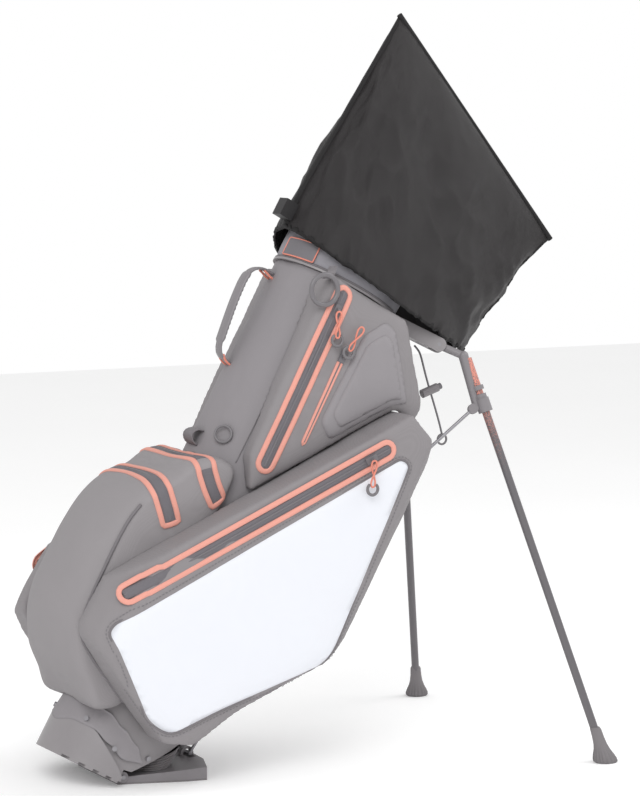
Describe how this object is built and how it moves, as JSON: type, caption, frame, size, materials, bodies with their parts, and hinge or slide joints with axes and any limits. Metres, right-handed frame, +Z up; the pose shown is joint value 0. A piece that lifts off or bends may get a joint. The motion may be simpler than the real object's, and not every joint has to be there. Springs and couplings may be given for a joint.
{
  "type": "golf stand bag",
  "caption": "Leaning golf carry bag with fold-out alloy legs, pivoting foot, zipped pockets and a pointed rain hood over the mouth.",
  "frame": {"origin": "on the ground, straight below the foot hinge, on the centre plane of the bag", "axes": "+Z up, +X from the bag base towards the legs, +Y to the side away from the long zip"},
  "size_m": [0.9116, 0.6284, 1.1641],
  "materials": {
    "grey_fabric": "matt coated polyester",
    "cuff_fabric": "brushed knit over foam",
    "white_panel": "smooth coated",
    "moulded_foam": "fine grained moulded foam",
    "base_plastic": "satin moulded",
    "heel_rubber": "satin rubber",
    "steel": "satin",
    "rod_steel": "satin",
    "bracket_plastic": "satin moulded",
    "leg_paint": "satin, fading from coral to dark grey",
    "foot_rubber": "matt",
    "coral_trim": "welded coated tape",
    "zip_hardware": "satin",
    "ring_plastic": "satin",
    "webbing": "woven webbing",
    "patch": "woven patch, blank",
    "divider_fabric": "brushed lining",
    "cord": "braided elastic",
    "lock_plastic": "satin",
    "hood_fabric": "light ripstop nylon",
    "hood_trim": "bound tape and clip"
  },
  "bodies": {
    "foot": {"foot_plate": "base_plastic", "foot_tread": "heel_rubber", "foot_hinge_pin": "steel"},
    "bag": {"base_cup": "base_plastic", "heel_shell": "heel_rubber", "base_rivets": "steel", "base_boot": "heel_rubber", "body_tube": "grey_fabric", "spine_stay": "bracket_plastic", "side_stays": "bracket_plastic", "divider_cross": "divider_fabric", "hip_pad": "cuff_fabric", "top_collar": "bracket_plastic", "leg_pivot_pins": "steel", "cuff_pad": "cuff_fabric", "cuff_patch": "patch", "lift_handle": "webbing", "webbing_loops": "webbing", "ball_pocket": "grey_fabric", "side_pocket_near": "grey_fabric", "side_pocket_far": "grey_fabric", "side_panel_near": "white_panel", "side_panel_far": "white_panel", "garment_pocket_near": "grey_fabric", "garment_pocket_far": "grey_fabric", "eva_panel_near": "moulded_foam", "eva_panel_far": "moulded_foam", "long_zip_track": "coral_trim", "slim_zip_track": "coral_trim", "side_zip_track_near": "coral_trim", "side_zip_track_far": "coral_trim", "ball_zip_tracks": "coral_trim"},
    "towel_ring": {"towel_ring": "ring_plastic"},
    "accessory_ring": {"accessory_ring": "ring_plastic"},
    "long_slider": {"long_zip_slider": "zip_hardware"},
    "long_pull": {"long_zip_pull": "zip_hardware"},
    "slim_slider": {"slim_zip_slider": "zip_hardware"},
    "slim_pull": {"slim_zip_pull": "zip_hardware"},
    "side_slider_near": {"side_zip_slider_near": "zip_hardware"},
    "side_pull_near": {"side_zip_pull_near": "zip_hardware"},
    "side_slider_far": {"side_zip_slider_far": "zip_hardware"},
    "ball_slider_upper": {"ball_zip_slider_upper": "zip_hardware"},
    "ball_slider_lower": {"ball_zip_slider_lower": "zip_hardware"},
    "slider": {"slider_block": "bracket_plastic"},
    "rods": {"push_rods": "rod_steel"},
    "leg_near": {"leg_arm_near": "bracket_plastic", "leg_tube_near": "leg_paint", "leg_foot_near": "foot_rubber"},
    "leg_far": {"leg_arm_far": "bracket_plastic", "leg_tube_far": "leg_paint", "leg_foot_far": "foot_rubber"},
    "strut_near": {"strut_near": "rod_steel"},
    "strut_far": {"strut_far": "rod_steel"},
    "cord": {"umbrella_cord": "cord"},
    "lock": {"cord_lock": "lock_plastic"},
    "button": {"lock_button": "lock_plastic"},
    "hood": {"hood_shell": "hood_fabric", "hood_binding": "hood_trim", "hood_buckle": "hood_trim"}
  },
  "joints": [
    {"name": "bag_tilt", "type": "hinge", "parent": "foot", "child": "bag", "pos_m": [0, 0, 0.012], "axis": [0, -1, 0], "range_deg": [0, 29.4], "deforming": ["base_boot"]},
    {"name": "slider_travel", "type": "slide", "parent": "bag", "child": "slider", "axis": [-0.4909, 0, -0.8712], "range_m": [0, 0.0659]},
    {"name": "rod_swing", "type": "hinge", "parent": "slider", "child": "rods", "pos_m": [0.35104, 0, 0.31924], "axis": [0, -1, 0], "range_deg": [0, 3.84]},
    {"name": "leg_fold_near", "type": "hinge", "parent": "bag", "child": "leg_near", "pos_m": [0.55359, -0.078, 0.64817], "axis": [0.3585, 0.9114, -0.202], "range_deg": [0, 46.15]},
    {"name": "leg_fold_far", "type": "hinge", "parent": "bag", "child": "leg_far", "pos_m": [0.55359, 0.078, 0.64817], "axis": [-0.3585, 0.9114, 0.202], "range_deg": [0, 46.15]},
    {"name": "strut_swing_near", "type": "hinge", "parent": "leg_near", "child": "strut_near", "pos_m": [0.59038, -0.12375, 0.54973], "axis": [-0.3585, -0.9114, 0.202], "range_deg": [0, 59.52]},
    {"name": "strut_swing_far", "type": "hinge", "parent": "leg_far", "child": "strut_far", "pos_m": [0.59038, 0.12375, 0.54973], "axis": [0.3585, -0.9114, -0.202], "range_deg": [0, 59.52]},
    {"name": "hood_lift", "type": "slide", "parent": "bag", "child": "hood", "axis": [0.4909, 0, 0.8712], "range_m": [0, 0.16]},
    {"name": "towel_ring_swing", "type": "hinge", "parent": "bag", "child": "towel_ring", "pos_m": [0.33508, -0.123, 0.76556], "axis": [-0.8712, 0, 0.4909], "range_deg": [0, 62]},
    {"name": "accessory_ring_swing", "type": "hinge", "parent": "bag", "child": "accessory_ring", "pos_m": [0.19051, -0.0555, 0.5363], "axis": [-0.6372, 0.682, 0.359], "range_deg": [0, 45]},
    {"name": "long_zip_slide", "type": "slide", "parent": "bag", "child": "long_slider", "axis": [-0.4702, 0, -0.8825], "range_m": [0, 0.213]},
    {"name": "long_pull_swing", "type": "hinge", "parent": "long_slider", "child": "long_pull", "pos_m": [0.34732, -0.1275, 0.71275], "axis": [-1, 0, 0], "range_deg": [0, 80]},
    {"name": "slim_zip_slide", "type": "slide", "parent": "bag", "child": "slim_slider", "axis": [-0.4679, 0, -0.8838], "range_m": [0, 0.13]},
    {"name": "slim_pull_swing", "type": "hinge", "parent": "slim_slider", "child": "slim_pull", "pos_m": [0.35803, -0.1286, 0.64129], "axis": [0.8251, 0, -0.565], "range_deg": [0, 110]},
    {"name": "side_zip_near_slide", "type": "slide", "parent": "bag", "child": "side_slider_near", "axis": [-0.9171, 0, -0.3987], "range_m": [0, 0.414]},
    {"name": "side_pull_near_swing", "type": "hinge", "parent": "side_slider_near", "child": "side_pull_near", "pos_m": [0.379, -0.183, 0.48722], "axis": [-1, 0, 0], "range_deg": [0, 80]},
    {"name": "side_zip_far_slide", "type": "slide", "parent": "bag", "child": "side_slider_far", "axis": [-0.9171, 0, -0.3987], "range_m": [0, 0.414]},
    {"name": "ball_zip_upper_slide", "type": "hinge", "parent": "bag", "child": "ball_slider_upper", "pos_m": [0.06544, 0, 0.34346], "axis": [-0.9995, 0, 0.0332], "range_deg": [-80, 24]},
    {"name": "ball_zip_lower_slide", "type": "hinge", "parent": "bag", "child": "ball_slider_lower", "pos_m": [0.15297, 0, 0.38757], "axis": [-0.989, 0, -0.1478], "range_deg": [-80, 24]},
    {"name": "cord_swing", "type": "hinge", "parent": "bag", "child": "cord", "pos_m": [0.5095, -0.045, 0.65752], "axis": [0, -1, 0], "range_deg": [-10, 25]},
    {"name": "cord_lock_slide", "type": "slide", "parent": "cord", "child": "lock", "axis": [0.3192, 0, -0.9477], "range_m": [-0.03, 0.05]},
    {"name": "lock_button_press", "type": "slide", "parent": "lock", "child": "button", "axis": [-0.9477, 0, -0.3192], "range_m": [0, 0.0035], "stiffness_N_per_m": 300}
  ],
  "couplings": [
    {"joint": "slider_travel", "follows": "bag_tilt", "m_per_rad": 0.12745},
    {"joint": "rod_swing", "follows": "bag_tilt", "ratio": 0.12884},
    {"joint": "leg_fold_near", "follows": "bag_tilt", "ratio": 1.5663},
    {"joint": "leg_fold_far", "follows": "bag_tilt", "ratio": 1.5663},
    {"joint": "strut_swing_near", "follows": "bag_tilt", "ratio": 2.021},
    {"joint": "strut_swing_far", "follows": "bag_tilt", "ratio": 2.021}
  ]
}
